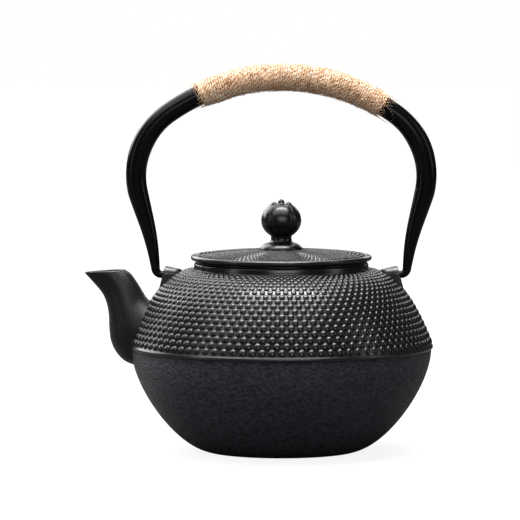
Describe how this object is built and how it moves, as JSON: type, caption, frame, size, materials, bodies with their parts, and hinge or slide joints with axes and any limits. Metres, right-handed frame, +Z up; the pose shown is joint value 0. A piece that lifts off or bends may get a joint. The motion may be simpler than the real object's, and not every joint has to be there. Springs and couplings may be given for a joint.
{
  "type": "teapot",
  "caption": "Cast iron teapot with a dotted shoulder, spout, ribbed knob on a loose lid, lift-out strainer basket and a swinging arched handle wrapped in twine",
  "frame": {"origin": "centre of the flat base, on the vessel's axis, at the height of the surface the pot stands on", "axes": "+Z up along the vessel's axis; the spout points along -X; the handle's arch stands in the XZ plane and its hinge line runs along X"},
  "size_m": [0.1918, 0.1656, 0.2106],
  "materials": {
    "cast_iron_body": "matt black cast skin",
    "cast_iron_smooth": "satin black",
    "black_steel": "satin black enamel on steel",
    "jute_twine": "fuzzy twisted twine",
    "stainless_steel": "brushed stainless sheet"
  },
  "bodies": {
    "pot": {"vessel_bowl": "cast_iron_body", "vessel_shoulder": "cast_iron_body", "spout": "cast_iron_smooth", "lug_spout_side": "cast_iron_smooth", "lug_back_side": "cast_iron_smooth"},
    "handle": {"handle_tube": "black_steel", "twine_wrap": "jute_twine"},
    "infuser": {"infuser_flange": "stainless_steel", "infuser_basket": "stainless_steel"},
    "lid": {"lid_plate": "cast_iron_body"},
    "knob": {"knob_casting": "cast_iron_smooth", "knob_rivet": "black_steel", "rivet_washer": "stainless_steel"}
  },
  "joints": [
    {"name": "handle_swing", "type": "hinge", "parent": "pot", "child": "handle", "pos_m": [0, 0, 0.096], "axis": [1, 0, 0], "range_deg": [-115, 115]},
    {"name": "infuser_lift", "type": "slide", "parent": "pot", "child": "infuser", "axis": [0, 0, 1], "range_m": [0, 0.052]},
    {"name": "lid_lift", "type": "slide", "parent": "infuser", "child": "lid", "axis": [0, 0, 1], "range_m": [0, 0.05]},
    {"name": "knob_turn", "type": "hinge", "parent": "lid", "child": "knob", "pos_m": [0, 0, 0.12], "axis": [0, 0, 1], "continuous": true}
  ]
}
